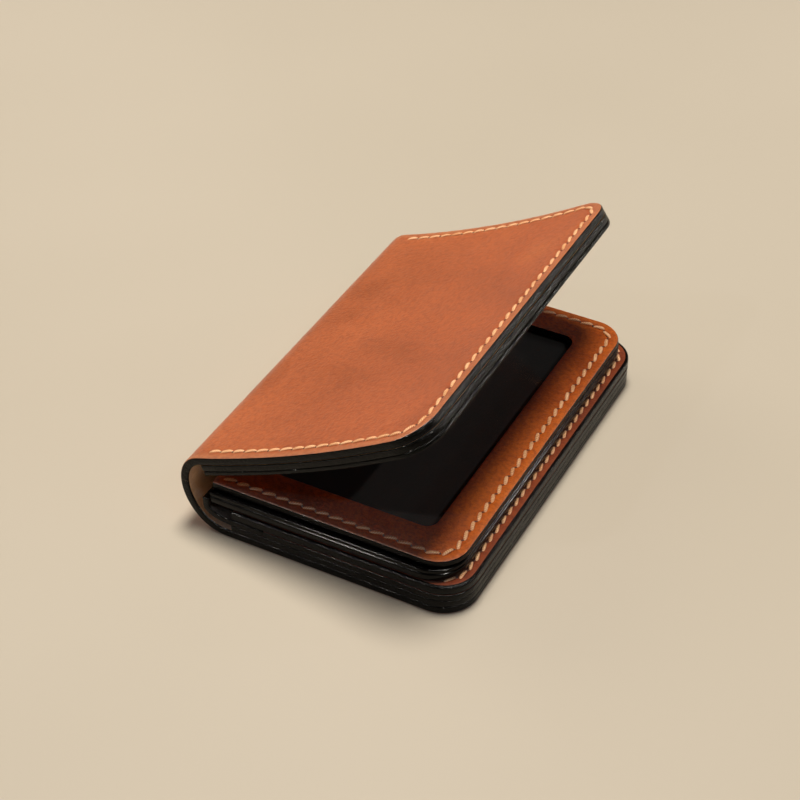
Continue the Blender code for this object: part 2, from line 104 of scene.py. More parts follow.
def skinPoint(arc):
    if arc <= wallet["lowerLeaf"]:
        return Vector((-arc, 0.0)), Vector((-1.0, 0.0))
    if arc < upperStart:
        return alongLine(spineLine, spineLengths, arc - wallet["lowerLeaf"])
    tilt = wallet["tilt"]
    bow = wallet["curl"] / wallet["upperLeaf"]
    slope = tilt + bow * (arc - upperStart)
    across = (math.sin(slope) - math.sin(tilt)) / bow
    rise = (math.cos(tilt) - math.cos(slope)) / bow
    return bendEnd + Vector((across, rise)), Vector((math.cos(slope), math.sin(slope)))


def stand(point, way, y, depth):
    return Vector((point.x + depth * way.y + sideShift, y - wallet["length"] / 2.0, point.y - depth * way.x))


def onLower(x, y, depth):
    return stand(*skinPoint(x), y, depth)


def onUpper(x, y, depth):
    return stand(*skinPoint(wholeRun - x), y, depth)


def onFlat(x, y, depth):
    return Vector((sideShift - x, y - wallet["length"] / 2.0, depth))


def hexColour(code):
    parts = [int(code[at:at + 2], 16) / 255.0 for at in (1, 3, 5)]
    linear = [part / 12.92 if part <= 0.04045 else ((part + 0.055) / 1.055) ** 2.4 for part in parts]
    return (*linear, 1.0)


def addNode(tree, kind, settings=None, links=None):
    node = tree.nodes.new(kind)
    for name, value in (settings or {}).items():
        if name == "stops":
            elements = node.color_ramp.elements
            while len(elements) < len(value):
                elements.new(0.5)
            for element, (share, code) in zip(elements, value):
                element.position = share
                element.color = hexColour(code)
        elif isinstance(name, int) or name in node.inputs:
            node.inputs[name].default_value = value
        else:
            setattr(node, name, value)
    for name, source in (links or {}).items():
        tree.links.new(source, node.inputs[name])
    return node


def startMaterial(name, surface):
    made = bpy.data.materials.new(name)
    made.use_nodes = True
    shader = made.node_tree.nodes["Principled BSDF"]
    for socket, value in surface.items():
        shader.inputs[socket].default_value = value
    return made, made.node_tree, shader


def leatherMaterial(name, look):
    # vegetable tanned leather, hot stuffed with oil and wax: cloudy pull-up colour over a fine pore grain
    made, tree, shader = startMaterial(name, {
        "IOR": 1.48, "Specular IOR Level": look["gloss"], "Coat Weight": look["wax"], "Coat Roughness": 0.34})
    place = addNode(tree, "ShaderNodeTexCoord").outputs["Object"]
    clouds = addNode(tree, "ShaderNodeTexNoise", {
        "Scale": 1.0 / look["cloudSize"], "Detail": 5.0, "Roughness": 0.58, "Distortion": 0.5},
        {"Vector": place})
    base = addNode(tree, "ShaderNodeValToRGB", {"stops": look["tones"]}, {"Fac": clouds.outputs["Fac"]})
    # partly painted shade and partly the leather's own tone: darker and redder towards the free edge
    axes = addNode(tree, "ShaderNodeSeparateXYZ", {}, {"Vector": place})
    across = addNode(tree, "ShaderNodeMapRange", {
        "From Min": -30 * mm, "From Max": 35 * mm, "To Max": look["freeEdgeShadeShare"]},
        {"Value": axes.outputs["X"]})
    freeEdgeShaded = addNode(tree, "ShaderNodeMix", {
        "data_type": "RGBA", "blend_type": "MULTIPLY", 7: hexColour(look["freeEdgeShadeTone"])},
        {0: across.outputs["Result"], 6: base.outputs["Color"]})
    # painted highlight: the rim outside the stitching is drawn lighter, as where it slopes down to the edge
    # and catches the light
    rim = addNode(tree, "ShaderNodeAttribute", {"attribute_name": "rim"})
    rimHighlightMask = addNode(tree, "ShaderNodeMath", {"operation": "MULTIPLY", 1: look["rimHighlightShare"]},
                       {0: rim.outputs["Fac"]})
    rimHighlighted = addNode(tree, "ShaderNodeMix", {"data_type": "RGBA", 7: hexColour(look["rimHighlightTone"])},
                     {0: rimHighlightMask.outputs["Value"], 6: freeEdgeShaded.outputs[2]})
    # hair pores and the short creases between them, both drawn a little coarser than real so that they show
    pores = addNode(tree, "ShaderNodeTexVoronoi", {"Scale": 1.0 / grainSizes["poreGap"], "Randomness": 1.0},
                    {"Vector": place})
    creases = addNode(tree, "ShaderNodeTexNoise", {
        "Scale": 1.0 / grainSizes["creaseGap"], "Detail": 6.0, "Roughness": 0.65}, {"Vector": place})
    speck = addNode(tree, "ShaderNodeMapRange", {"From Min": 0.42, "From Max": 0.68, "To Max": look["speck"]},
                    {"Value": creases.outputs["Fac"]})
    specked = addNode(tree, "ShaderNodeMix", {
        "data_type": "RGBA", "blend_type": "MULTIPLY", 7: hexColour(look["speckTone"])},
        {0: speck.outputs["Result"], 6: rimHighlighted.outputs[2]})
    tree.links.new(specked.outputs[2], shader.inputs["Base Color"])
    # wax lies unevenly, so the cloudy patches differ in polish too
    polish = addNode(tree, "ShaderNodeMapRange", {
        "From Min": 0.3, "From Max": 0.7, "To Min": look["rough"][0], "To Max": look["rough"][1]},
        {"Value": clouds.outputs["Fac"]})
    tree.links.new(polish.outputs["Result"], shader.inputs["Roughness"])
    height = addNode(tree, "ShaderNodeMath", {"operation": "MULTIPLY_ADD", 1: 0.5},
                     {0: pores.outputs["Distance"], 2: creases.outputs["Fac"]})
    swell = addNode(tree, "ShaderNodeTexNoise", {"Scale": 1.0 / grainSizes["swellSize"], "Detail": 2.0},
                    {"Vector": place})
    soft = addNode(tree, "ShaderNodeBump", {"Strength": 0.5, "Distance": grainSizes["swellDeep"]},
                   {"Height": swell.outputs["Fac"]})
    bump = addNode(tree, "ShaderNodeBump", {"Strength": 1.0, "Distance": grainSizes["poreDeep"]},
                   {"Height": height.outputs["Value"], "Normal": soft.outputs["Normal"]})
    tree.links.new(bump.outputs["Normal"], shader.inputs["Normal"])
    return made


def fleshMaterial(name, stops):
    # flesh side of the hide, slicked but open: matt, with short matted fibres and paler streaks
    made, tree, shader = startMaterial(name, {
        "IOR": 1.45, "Roughness": 0.86, "Sheen Weight": 0.25, "Sheen Roughness": 0.5})
    place = addNode(tree, "ShaderNodeTexCoord").outputs["Object"]
    turned = addNode(tree, "ShaderNodeMapping", {"Scale": (1.0, 0.7, 1.0)}, {"Vector": place})
    # fibres are drawn coarser than real so that they show
    fibres = addNode(tree, "ShaderNodeTexNoise", {
        "Scale": 1.0 / (0.7143 * mm), "Detail": 6.0, "Roughness": 0.7}, {"Vector": turned.outputs["Vector"]})
    patches = addNode(tree, "ShaderNodeTexNoise", {"Scale": 1.0 / (11.11 * mm), "Detail": 4.0},
                      {"Vector": place})
    mixed = addNode(tree, "ShaderNodeMath", {"operation": "MULTIPLY_ADD", 1: 0.5},
                    {0: fibres.outputs["Fac"], 2: patches.outputs["Fac"]})
    base = addNode(tree, "ShaderNodeValToRGB", {"stops": stops}, {"Fac": mixed.outputs["Value"]})
    tree.links.new(base.outputs["Color"], shader.inputs["Base Color"])
    bump = addNode(tree, "ShaderNodeBump", {"Strength": 0.7, "Distance": 0.12 * mm},
                   {"Height": fibres.outputs["Fac"]})
    tree.links.new(bump.outputs["Normal"], shader.inputs["Normal"])
    return made


def edgePaintMaterial(name, lumpHeight):
    # acrylic edge paint, sanded and painted again: black, glossy, a little lumpy, so light breaks into glints
    made, tree, shader = startMaterial(name, {"IOR": 1.46, "Specular IOR Level": 0.12})
    place = addNode(tree, "ShaderNodeTexCoord").outputs["Object"]
    lumps = addNode(tree, "ShaderNodeTexNoise", {
        "Scale": 1.0 / (0.5263 * mm), "Detail": 2.0, "Roughness": 0.7}, {"Vector": place})
    worn = addNode(tree, "ShaderNodeTexNoise", {"Scale": 1.0 / (3.846 * mm), "Detail": 4.0},
                   {"Vector": place})
    # worn spots let a little brown through
    base = addNode(tree, "ShaderNodeValToRGB", {
        "stops": ((0.35, "#050403"), (0.62, "#080605"), (0.8, "#160D07"))}, {"Fac": worn.outputs["Fac"]})
    tree.links.new(base.outputs["Color"], shader.inputs["Base Color"])
    gloss = addNode(tree, "ShaderNodeMapRange", {
        "From Min": 0.3, "From Max": 0.7, "To Min": 0.1, "To Max": 0.24}, {"Value": worn.outputs["Fac"]})
    tree.links.new(gloss.outputs["Result"], shader.inputs["Roughness"])
    bump = addNode(tree, "ShaderNodeBump", {"Strength": 1.0, "Distance": lumpHeight},
                   {"Height": lumps.outputs["Fac"]})
    tree.links.new(bump.outputs["Normal"], shader.inputs["Normal"])
    return made


def threadMaterial(name, stops):
    # waxed linen thread, two plies laid round each other: the slanting furrows between the pale plies are
    # drawn darker, painted shade
    made, tree, shader = startMaterial(name, {"IOR": 1.5, "Specular IOR Level": 0.22, "Roughness": 0.5})
    coordinates = addNode(tree, "ShaderNodeTexCoord").outputs
    turned = addNode(tree, "ShaderNodeMapping", {"Scale": (1.0, 4.0, 1.0), "Rotation": (0.0, 0.0, 0.6)},
                     {"Vector": coordinates["UV"]})
    # nine or so furrows to a stitch, 0.4 mm apart
    plies = addNode(tree, "ShaderNodeTexWave", {"Scale": 1.3, "Distortion": 0.6, "Detail": 1.0},
                    {"Vector": turned.outputs["Vector"]})
    # handling has darkened some stitches more than others
    handled = addNode(tree, "ShaderNodeTexNoise", {"Scale": 1.0 / (6.25 * mm), "Detail": 3.0},
                      {"Vector": coordinates["Object"]})
    shade = addNode(tree, "ShaderNodeMath", {"operation": "MULTIPLY_ADD", 1: 0.45},
                    {0: plies.outputs["Fac"], 2: handled.outputs["Fac"]})
    base = addNode(tree, "ShaderNodeValToRGB", {"stops": stops}, {"Fac": shade.outputs["Value"]})
    tree.links.new(base.outputs["Color"], shader.inputs["Base Color"])
    bump = addNode(tree, "ShaderNodeBump", {"Strength": 0.5, "Distance": 0.1 * mm},
                   {"Height": plies.outputs["Fac"]})
    tree.links.new(bump.outputs["Normal"], shader.inputs["Normal"])
    return made


def filmMaterial():
    # clear vinyl window, see-through but tinted near black as painted shade of the window's inside; smooth,
    # with faint wipe marks that blur its reflections
    made, tree, shader = startMaterial("shadeTintedVinylFilm", {
        "Base Color": hexColour("#17110F"), "IOR": 1.54, "Alpha": 0.25,
        "Coat Weight": 0.5, "Coat Roughness": 0.06})
    place = addNode(tree, "ShaderNodeTexCoord").outputs["Object"]
    wipes = addNode(tree, "ShaderNodeTexNoise", {
        "Scale": 1.0 / (16.667 * mm), "Detail": 4.0, "Roughness": 0.6}, {"Vector": place})
    blur = addNode(tree, "ShaderNodeMapRange", {
        "From Min": 0.35, "From Max": 0.7, "To Min": 0.05, "To Max": 0.2}, {"Value": wipes.outputs["Fac"]})
    tree.links.new(blur.outputs["Result"], shader.inputs["Roughness"])
    return made


def flatMaterial(name, codes, driftSize):
    # plain matt surface with a slow change of tone
    made, tree, shader = startMaterial(name, {"IOR": 1.45, "Roughness": 0.8})
    place = addNode(tree, "ShaderNodeTexCoord").outputs["Object"]
    drift = addNode(tree, "ShaderNodeTexNoise", {"Scale": 1.0 / driftSize, "Detail": 3.0}, {"Vector": place})
    base = addNode(tree, "ShaderNodeValToRGB", {"stops": tuple(zip((0.3, 0.7), codes))},
                   {"Fac": drift.outputs["Fac"]})
    tree.links.new(base.outputs["Color"], shader.inputs["Base Color"])
    return made


# sizes of the grain, the same on every sheet
grainSizes = {"poreGap": 0.5882 * mm, "poreDeep": 0.2 * mm, "creaseGap": 1.1111 * mm,
              "swellSize": 8.333 * mm, "swellDeep": 0.25 * mm}
coverLook = {
    "cloudSize": 33.33 * mm, "wax": 0.2, "gloss": 0.5, "freeEdgeShadeShare": 0.5, "freeEdgeShadeTone": "#E8C2B4",
    "rimHighlightShare": 0.5, "rimHighlightTone": "#CE875A", "speck": 0.4, "speckTone": "#9C5A36", "rough": (0.34, 0.46),
    "tones": ((0.3, "#AE5829"), (0.45, "#BF6434"), (0.58, "#C86A37"), (0.75, "#D27840")),
}
flapLook = {
    "cloudSize": 23.81 * mm, "wax": 0.04, "gloss": 0.2, "freeEdgeShadeShare": 0.2, "freeEdgeShadeTone": "#F0CDBE",
    "rimHighlightShare": 0.35, "rimHighlightTone": "#CC6C24", "speck": 0.5, "speckTone": "#8A4418", "rough": (0.44, 0.58),
    "tones": ((0.3, "#96430A"), (0.45, "#BA570C"), (0.58, "#C9630F"), (0.75, "#D87014")),
}
# the pocket leather's tones are partly its own reddish brown and partly painted shade: drawn darker for the
# shade the flap throws on the front panel
pocketLook = {
    "cloudSize": 23.81 * mm, "wax": 0.03, "gloss": 0.2, "freeEdgeShadeShare": 0.2, "freeEdgeShadeTone": "#E4C0B0",
    "rimHighlightShare": 0.3, "rimHighlightTone": "#96481C", "speck": 0.5, "speckTone": "#7A3C20", "rough": (0.48, 0.62),
    "tones": ((0.3, "#6A2A0E"), (0.45, "#7C3311"), (0.58, "#883A13"), (0.75, "#954216")),
}
# painted shade: the hinge strip's leather is drawn near black, for the deep shade in the gutter
hingeLook = dict(pocketLook, rimHighlightTone="#2A180E", tones=(
    (0.3, "#1A0E08"), (0.5, "#22130B"), (0.7, "#2B180E"), (0.85, "#341D11")))
coverLeather = leatherMaterial("pullUpCoverLeather", coverLook)
flapLeather = leatherMaterial("waxedFlapLeather", flapLook)
pocketLeather = leatherMaterial("waxedPocketLeather", pocketLook)
hingeLeather = leatherMaterial("gutterShadeHingeLeather", hingeLook)
fleshSide = fleshMaterial("slickedFleshSide", ((0.45, "#BC8654"), (0.7, "#E6AC75"), (1.0, "#FBCB98")))
# painted shade: the card seat under the window and the frame's underside are drawn near black, for the shade
# inside the window
shadeDarkLining = fleshMaterial("shadeDarkCardLining", ((0.45, "#120B0A"), (0.7, "#1B1110"), (1.0, "#261815")))
edgePaint = edgePaintMaterial("blackEdgePaint", 0.2 * mm)
smoothPaint = edgePaintMaterial("smoothEdgePaint", 0.02 * mm)
linenThread = threadMaterial("waxedLinenThread", ((0.3, "#BE7A45"), (0.62, "#F2AF76"), (0.9, "#FFCE9E")))
# painted shade: each awl hole is a small dark patch, for the shade inside the hole
holeShade = flatMaterial("awlHoleShade", ("#4A2412", "#5C2F18"), 3.3333 * mm)
vinylFilm = filmMaterial()
print("materials made")


def deselectAll():
    for item in list(bpy.context.selected_objects):
        item.select_set(False)


def makeActive(item):
    deselectAll()
    item.select_set(True)
    bpy.context.view_layer.objects.active = item


def pick(item, kind, test):
    # in edit mode: select by place or normal
    bpy.ops.mesh.select_mode(type=kind)
    bpy.ops.mesh.select_all(action="DESELECT")
    shape = bmesh.from_edit_mesh(item.data)
    shape.normal_update()
    chosen = {"VERT": shape.verts, "EDGE": shape.edges, "FACE": shape.faces}[kind]
    for element in chosen:
        element.select_set(bool(test(element)))
    shape.select_flush_mode()
    bmesh.update_edit_mesh(item.data)


def addModifier(item, kind, settings):
    made = item.modifiers.new(kind.lower(), kind)
    for name, value in settings.items():
        setattr(made, name, value)
    makeActive(item)
    bpy.ops.object.modifier_apply(modifier=made.name)


levelFace = 0.999      # a face whose normal is at least this upright is level


def edgeDistance(cut, x, y):
    # how far a point of a sheet is from its free edge and its two ends
    r = cut["corner"]
    fromFree = x - cut["free"]
    fromEnd = min(y - cut["near"], cut["far"] - y)
    if fromFree < r and fromEnd < r:
        return r - math.hypot(r - fromFree, r - fromEnd)
    return min(fromFree, fromEnd)


def roundedBox(name, free, spine, near, far, low, high, radius):
    # a box with four round upright edges, to cut the window out with
    bpy.ops.mesh.primitive_cube_add(size=1, enter_editmode=True)
    box = bpy.context.object
    box.name = name
    bpy.ops.transform.resize(value=(spine - free, far - near, high - low), center_override=(0, 0, 0))
    bpy.ops.transform.translate(value=((spine + free) / 2, (far + near) / 2, (high + low) / 2))
    pick(box, "EDGE", lambda edge: abs(edge.verts[0].co.z - edge.verts[1].co.z) > (high - low) / 2)
    bpy.ops.mesh.bevel(offset=radius, segments=8, affect="EDGES")
    bpy.ops.object.mode_set(mode="OBJECT")
    return box


def roundCorners(item, cut, longSpine):
    pick(item, "VERT", lambda vert: vert.co.x < cut["free"] + mm)
    bpy.ops.mesh.bevel(offset=cut["corner"], segments=10, affect="VERTICES")
    if not cut.get("notch"):
        return
    # thumb notch: three points on the pocket's mouth, moved and rounded
    notch = cut["notch"]
    half = notch["half"]
    middle = wallet["length"] / 2
    pick(item, "VERT", lambda vert: vert.co.x > longSpine - mm)
    bpy.ops.mesh.subdivide(number_cuts=3)
    quarter = (cut["far"] - cut["near"]) / 4
    for place, run, bite in ((middle - quarter, quarter - half, 0.0), (middle, 0.0, -notch["deep"]),
                             (middle + quarter, half - quarter, 0.0)):
        pick(item, "VERT", lambda vert: vert.co.x > longSpine - mm and abs(vert.co.y - place) < 0.5 * mm)
        bpy.ops.transform.translate(value=(bite, run, 0.0))
    pick(item, "VERT", lambda vert: abs(vert.co.y - middle) < 0.5 * mm and vert.co.x > cut["free"] + 20 * mm)
    bpy.ops.mesh.bevel(offset=notch["floorRound"], segments=10, affect="VERTICES")
    pick(item, "VERT", lambda vert: vert.co.x > longSpine - mm
         and abs(abs(vert.co.y - middle) - half) < 0.5 * mm)
    bpy.ops.mesh.bevel(offset=notch["lipRound"], segments=4, affect="VERTICES")


def cutSheet(name, cut, grain, edge, flesh, place, bends=()):
    # one sheet of leather: outline, thickness, window, rounded rim, stitch channel, then the bend
    deselectAll()
    spare = 8.0 * mm if cut.get("open") else 0.0     # trimmed off at the seam, so no rim forms there
    longSpine = cut["spine"] + spare
    bpy.ops.mesh.primitive_plane_add(size=1, enter_editmode=True)
    item = bpy.context.object
    item.name = item.data.name = name
    size = (longSpine - cut["free"], cut["far"] - cut["near"], 1)
    middle = ((longSpine + cut["free"]) / 2, (cut["far"] + cut["near"]) / 2, cut["low"])
    bpy.ops.transform.resize(value=size, center_override=(0, 0, 0))
    bpy.ops.transform.translate(value=middle)
    roundCorners(item, cut, longSpine)
    bpy.ops.object.mode_set(mode="OBJECT")
    thick = cut["high"] - cut["low"]
    addModifier(item, "SOLIDIFY", {"thickness": thick, "offset": 1.0, "use_even_offset": True})
    if cut.get("window"):
        free, spine, near, far, radius = cut["window"]
        opening = roundedBox("opening", free, spine, near, far, cut["low"] - mm, cut["high"] + mm, radius)
        addModifier(item, "BOOLEAN", {"operation": "DIFFERENCE", "solver": "EXACT", "object": opening})
        bpy.data.objects.remove(opening)
    addModifier(item, "BEVEL", {"width": cut["rim"], "segments": 4, "limit_method": "ANGLE",
                                "angle_limit": math.radians(50), "use_clamp_overlap": True})
    makeActive(item)
    bpy.ops.object.mode_set(mode="EDIT")
    for side in (-1, 1):
        pick(item, "FACE", lambda face: face.normal.z * side > levelFace)
        for step in cut["loops"]:
            bpy.ops.mesh.inset(thickness=step * mm, use_boundary=True, use_even_offset=True)
    for bend in bends:
        bpy.ops.mesh.select_all(action="SELECT")
        bpy.ops.mesh.bisect(plane_co=(bend, 0, 0), plane_no=(1, 0, 0), threshold=1e-6)
    if spare:
        bpy.ops.mesh.select_all(action="SELECT")
        bpy.ops.mesh.bisect(plane_co=(cut["spine"], 0, 0), plane_no=(1, 0, 0), use_fill=True,
                            clear_outer=True, threshold=1e-6)
    bpy.ops.object.mode_set(mode="OBJECT")
    finishSheet(item, cut, grain, edge, flesh, place)
    return item


rimWearAndHighlight = {
    "rimIn": 2.4 * mm,          # the rim's painted highlight starts this far in
    "rimFade": 1.6 * mm,        # and is full this much nearer the edge
    "rubIn": 2.2 * mm,          # the rubbed rim starts to sink here
    "channelHalf": 0.75 * mm,   # half the width of the stitch channel
    "rowFade": 1.5 * mm,        # run over which the channel ends at the spine
}


def finishSheet(item, cut, grain, edge, flesh, place):
    mesh = item.data
    for finish in (grain, edge, flesh):
        mesh.materials.append(finish)
    # paint covers the rim; only a shoulder that shows keeps the leather's colour
    grainShare = cut.get("paintFrom", levelFace)
    for face in mesh.polygons:
        upDown = face.normal.z * cut["grainSide"]
        face.material_index = 0 if upDown > grainShare else 2 if upDown < -levelFace else 1
        if edgeDistance(cut, face.center.x, face.center.y) < cut.get("paintOver", 0.0):
            face.material_index = 1
        if face.area > 0 and abs(face.normal.x) > 0.99 and abs(face.center.x - cut["spine"]) < 0.01 * mm:
            face.material_index = 2 if cut.get("open") else 1
    rim = mesh.attributes.new("rim", "FLOAT", "POINT")
    grainDepth = cut["high"] if cut["grainSide"] > 0 else cut["low"]
    for index, vert in enumerate(mesh.vertices):
        x, y, z = vert.co
        gap = edgeDistance(cut, x, y)
        # the rim mask carries the painted highlight along the rim
        rim.data[index].value = max(0.0, min(1.0, (rimWearAndHighlight["rimIn"] - gap) / rimWearAndHighlight["rimFade"]))
        # the pulled thread sinks a channel into the grain side, and the rim is rubbed down a little
        if cut.get("rowEnd") and abs(z - grainDepth) < cut["rim"] * 1.2:
            inside = max(0.0, min(1.0, (cut["rowEnd"] - x) / rimWearAndHighlight["rowFade"]))
            sink = cut["channel"] * math.exp(-((gap - wallet["stitchMargin"]) / rimWearAndHighlight["channelHalf"]) ** 2)
            sink += cut["rubDown"] * max(0.0, 1.0 - gap / rimWearAndHighlight["rubIn"]) ** 2
            z -= cut["grainSide"] * sink * inside
        vert.co = place(x, y, z)
    makeActive(item)
    bpy.ops.object.mode_set(mode="EDIT")
    bpy.ops.mesh.select_all(action="SELECT")
    bpy.ops.mesh.normals_make_consistent(inside=False)
    bpy.ops.object.mode_set(mode="OBJECT")
    bpy.ops.object.shade_smooth_by_angle(angle=math.radians(40))


# widths of the rings of faces from the rim inwards, in mm: the fine ones carry the stitch channel
fineLoops = (0.35, 0.45, 0.45, 0.4, 0.35, 0.35, 0.35, 0.4, 0.5, 0.8)
plainLoops = (0.4, 1.2)
# where a bent sheet gets a row of edges, from its free edge
lowerBends = [spineMiddle - (spineMiddle - wallet["lowerLeaf"]) * index / 20 for index in range(1, 21)]
leafBends = [wallet["upperLeaf"] * index / 14 for index in range(1, 14)]
upperBends = [wholeRun - upperStart + (upperStart - spineMiddle) * index / 14 for index in range(14)]
upperBends += leafBends
# a sheet as large as the cover
full = {"free": 0.0, "near": 0.0, "far": wallet["length"], "corner": 9.0 * mm, "channel": 0.22 * mm,
        "rubDown": 0.1 * mm}


# The cover is one piece of leather, modelled as two halves that meet in the middle of the spine.
lowerCoverCut = dict(full, spine=spineMiddle, low=0.0, high=2.2 * mm, rim=0.45 * mm, grainSide=-1, open=True,
                     rowEnd=61.5 * mm, channel=0.5 * mm, loops=fineLoops, paintFrom=0.7)
lowerCover = cutSheet("lowerCover", lowerCoverCut, coverLeather, edgePaint, fleshSide, onLower, lowerBends)
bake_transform(lowerCover)
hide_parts("lower_cover")

upperCoverCut = dict(full, spine=wholeRun - spineMiddle, low=0.0, high=2.2 * mm, rim=0.45 * mm, grainSide=-1,
                     open=True, rowEnd=66.0 * mm, loops=fineLoops, paintFrom=0.7)
upperCover = cutSheet("upperCover", upperCoverCut, coverLeather, edgePaint, fleshSide, onUpper, upperBends)
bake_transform(upperCover)
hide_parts("upper_cover", "spine_cover")
print("cover made")


thumbNotch = {"half": 12.0 * mm, "deep": 6.0 * mm, "floorRound": 11.0 * mm, "lipRound": 2.0 * mm}
sheets = (
    ("lowerBackPocket", "lower_back_pocket", "base", onLower, (),
     dict(full, spine=61.8 * mm, low=2.24 * mm, high=4.14 * mm, rim=0.18 * mm, grainSide=1,
          loops=plainLoops)),
    ("lowerMiddlePocket", "lower_middle_pocket", "base", onLower, (),
     dict(full, spine=53.0 * mm, low=4.18 * mm, high=5.9 * mm, rim=0.25 * mm, grainSide=1, loops=plainLoops,
          notch=thumbNotch, paintFrom=0.9)),
    ("lowerFrontPanel", "lower_front_panel", "base", onLower, (),
     dict(full, spine=61.8 * mm, low=6.1 * mm, high=8.5 * mm, rim=0.5 * mm, grainSide=1, loops=fineLoops,
          notch=thumbNotch, rowEnd=61.5 * mm, paintOver=0.8 * mm)),
    ("upperBackPocket", "upper_back_pocket", "upper", onUpper, leafBends,
     dict(full, spine=66.3 * mm, low=2.24 * mm, high=3.9 * mm, rim=0.2 * mm, grainSide=1, loops=plainLoops)),
    ("upperFrontPocket", "upper_front_pocket", "upper", onUpper, leafBends,
     dict(full, spine=66.3 * mm, low=3.96 * mm, high=5.2 * mm, rim=0.32 * mm, grainSide=1, loops=fineLoops,
          notch=thumbNotch, rowEnd=66.0 * mm)),
)
for name, node, body, place, bends, cut in sheets:
    sheet = cutSheet(name, cut, pocketLeather, edgePaint, fleshSide, place, bends)
    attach(sheet, body)
    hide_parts(node)
print("pockets made")


# The flap is a back and a window frame, with a spacer and the film between them.
flap = dict(full, free=2.9 * mm, near=1.9 * mm, far=wallet["length"] - 1.9 * mm, spine=67.8 * mm,
            corner=8.0 * mm)
flapUnder = dict(flap, near=0.5 * mm, far=wallet["length"] - 0.5 * mm, corner=9.0 * mm)
flapBackCut = dict(flapUnder, low=8.8 * mm, high=10.9 * mm, rim=0.5 * mm, grainSide=-1, loops=fineLoops,
                   rowEnd=67.5 * mm)
flapBack = cutSheet("flapBack", flapBackCut, flapLeather, smoothPaint, shadeDarkLining, onFlat)
# a window is its free, spine, near and far edges, and the radius of its corners
flapSpacerCut = dict(flapUnder, low=11.0 * mm, high=12.1 * mm, rim=0.35 * mm, grainSide=1, loops=(0.3,),
                     window=(9.3 * mm, 76.0 * mm, 7.8 * mm, wallet["length"] - 7.8 * mm, 1.0 * mm))
flapSpacer = cutSheet("flapSpacer", flapSpacerCut, smoothPaint, smoothPaint, smoothPaint, onFlat)
windowHole = (13.6 * mm, 59.8 * mm, 12.1 * mm, 94.9 * mm, 3.0 * mm)
frameLoops = (0.35, 0.45, 0.45, 0.4, 0.3, 0.3, 0.35, 0.4, 0.3)     # the frame's spine bar is narrow
flapFrameCut = dict(flap, low=12.2 * mm, high=14.3 * mm, rim=0.55 * mm, grainSide=1, window=windowHole,
                    loops=frameLoops, rowEnd=67.5 * mm, paintFrom=0.7)
flapFrame = cutSheet("flapWindowFrame", flapFrameCut, flapLeather, edgePaint, shadeDarkLining, onFlat)

film = roundedBox("flapWindowFilm", 9.6 * mm, 63.8 * mm, 8.1 * mm, wallet["length"] - 8.1 * mm,
                  11.75 * mm, 12.0 * mm, 3.0 * mm)
addModifier(film, "BEVEL", {"width": 0.05 * mm, "segments": 2, "limit_method": "ANGLE"})
film.data.materials.append(vinylFilm)
for vert in film.data.vertices:
    vert.co = onFlat(*vert.co)
makeActive(film)
bpy.ops.object.mode_set(mode="EDIT")
bpy.ops.mesh.select_all(action="SELECT")
bpy.ops.mesh.normals_make_consistent(inside=False)
bpy.ops.object.mode_set(mode="OBJECT")
for piece, node, slotName in (
        (flapBack, "flap_back_panel", "flap_leather"), (flapSpacer, "flap_spacer", "pocket_leather"),
        (flapFrame, "flap_window_frame", "flap_leather"), (film, "flap_window_film", "film")):
    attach(piece, "flap")
    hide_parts(node)
print("flap made")


# The flap hangs on a strip that is sewn in between the lower sheets.
hinge = {"tuck": 8.77 * mm, "thick": 1.72 * mm, "low": 5.04 * mm, "leave": -61.8 * mm,
         "upright": -68.7 * mm, "knee": 7.9 * mm, "top": 10.2 * mm}
leave = Vector((hinge["leave"], hinge["low"]))
knee = Vector((hinge["upright"], hinge["knee"]))
hingeLine = [leave + Vector((hinge["tuck"], 0.0))]
hingeLine += curvePoints(leave, leave - Vector((4.0 * mm, 0.0)), knee - Vector((0.0, 1.5 * mm)), knee, 60)
hingeLine.append(Vector((hinge["upright"], hinge["top"])))
hingeLengths = runningLengths(hingeLine)


def onHinge(x, y, depth):
    return stand(*alongLine(hingeLine, hingeLengths, x), y, depth)


hingeCut = {"free": 0.0, "spine": hingeLengths[-1], "near": 0.0, "far": wallet["length"],
            "corner": 0.5 * mm, "low": -hinge["thick"] / 2, "high": hinge["thick"] / 2, "rim": 0.3 * mm,
            "grainSide": 1, "loops": (0.3,)}
hingeBends = [hinge["tuck"] + (hingeLengths[-1] - hinge["tuck"]) * index / 14 for index in range(14)]
hingeStrip = cutSheet("flapHingeStrip", hingeCut, hingeLeather, edgePaint, hingeLeather, onHinge, hingeBends)
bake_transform(hingeStrip)
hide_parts("flap_hinge_strip")
print("hinge strip made")


# Saddle stitching: one stitch and one awl hole are modelled, then copied along each row.
stitch = {"long": 3.65 * mm, "wide": 1.0 * mm, "high": 0.66 * mm, "dip": 0.42 * mm,
          "flushSink": 0.36 * mm}
hole = {"long": 0.5 * mm, "wide": 0.8 * mm, "high": 0.14 * mm, "sink": 0.17 * mm, "flushSink": 0.44 * mm}


def modelStitch():
    deselectAll()
    bpy.ops.mesh.primitive_uv_sphere_add(segments=8, ring_count=8, radius=0.5, rotation=(0, math.pi / 2, 0))
    item = bpy.context.object
    bpy.ops.object.transform_apply(location=True, rotation=True, scale=True)
    for vert in item.data.vertices:
        u = max(-1.0, min(1.0, vert.co.x * 2))
        ring = math.sqrt(max(1e-9, 1.0 - u * u))
        # fuller towards its ends than a sphere
        fuller = (1.0 - abs(u) ** 3.0) ** 0.55 if abs(u) < 0.999 else 0.0
        vert.co.y *= fuller / ring * stitch["wide"]
        vert.co.z *= fuller / ring * stitch["high"]
        vert.co.z -= stitch["dip"] * abs(u) ** 3.5      # both ends dive into their holes
        vert.co.x *= stitch["long"]
    item.data.materials.append(linenThread)
    return item


